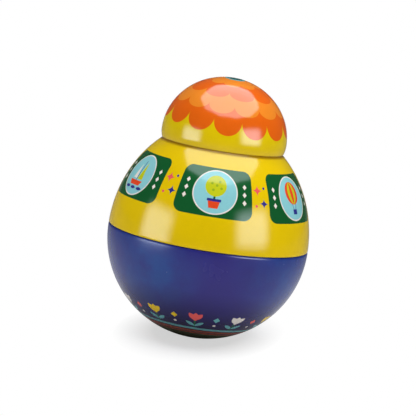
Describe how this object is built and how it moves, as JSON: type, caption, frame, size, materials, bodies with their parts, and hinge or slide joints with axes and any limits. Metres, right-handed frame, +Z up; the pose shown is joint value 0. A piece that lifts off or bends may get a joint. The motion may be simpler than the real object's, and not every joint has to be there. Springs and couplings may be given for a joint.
{
  "type": "roly poly toy",
  "caption": "Tinplate roly poly toy: a round weighted base, an egg-shaped body and a domed head over a hidden chime; pushed over, it rocks upright and sounds.",
  "frame": {"origin": "lowest point of the rocking base, on the toy's axis", "axes": "+Z up along the toy's axis, -Y towards the viewer of the picture, +X to the viewer's right"},
  "size_m": [0.1, 0.1, 0.1307],
  "materials": {
    "blue_tin": "printed, varnished",
    "yellow_tin": "printed, varnished",
    "head_tin": "printed, varnished",
    "ballast_iron": "as cast",
    "steel": "bright",
    "ivory_plastic": "moulded",
    "brass": "turned"
  },
  "bodies": {
    "toy": {"lower_shell": "blue_tin", "upper_shell": "yellow_tin", "head_shell": "head_tin", "ballast_weight": "ballast_iron", "ballast_stud": "steel", "stud_washer": "steel", "stud_nut": "steel", "chime_base": "ivory_plastic", "hammer_pins": "steel", "tone_rod_1": "steel", "tone_rod_2": "steel", "tone_rod_3": "steel", "tone_rod_4": "steel", "tone_rod_5": "steel"},
    "hammer_1": {"hammer_arm_1": "steel", "hammer_head_1": "brass"},
    "hammer_2": {"hammer_arm_2": "steel", "hammer_head_2": "brass"},
    "hammer_3": {"hammer_arm_3": "steel", "hammer_head_3": "brass"},
    "hammer_4": {"hammer_arm_4": "steel", "hammer_head_4": "brass"},
    "hammer_5": {"hammer_arm_5": "steel", "hammer_head_5": "brass"}
  },
  "joints": [
    {"name": "hammer_1_swing", "type": "hinge", "parent": "toy", "child": "hammer_1", "pos_m": [0.016, 0, 0.06], "axis": [0, -1, 0], "range_deg": [-9, 9]},
    {"name": "hammer_2_swing", "type": "hinge", "parent": "toy", "child": "hammer_2", "pos_m": [0.00494, 0.01522, 0.06], "axis": [0.9511, -0.309, 0], "range_deg": [-9, 9]},
    {"name": "hammer_3_swing", "type": "hinge", "parent": "toy", "child": "hammer_3", "pos_m": [-0.01294, 0.00941, 0.06], "axis": [0.5878, 0.809, 0], "range_deg": [-9, 9]},
    {"name": "hammer_4_swing", "type": "hinge", "parent": "toy", "child": "hammer_4", "pos_m": [-0.01294, -0.00941, 0.06], "axis": [-0.5878, 0.809, 0], "range_deg": [-9, 9]},
    {"name": "hammer_5_swing", "type": "hinge", "parent": "toy", "child": "hammer_5", "pos_m": [0.00494, -0.01522, 0.06], "axis": [-0.9511, -0.309, 0], "range_deg": [-9, 9]}
  ]
}
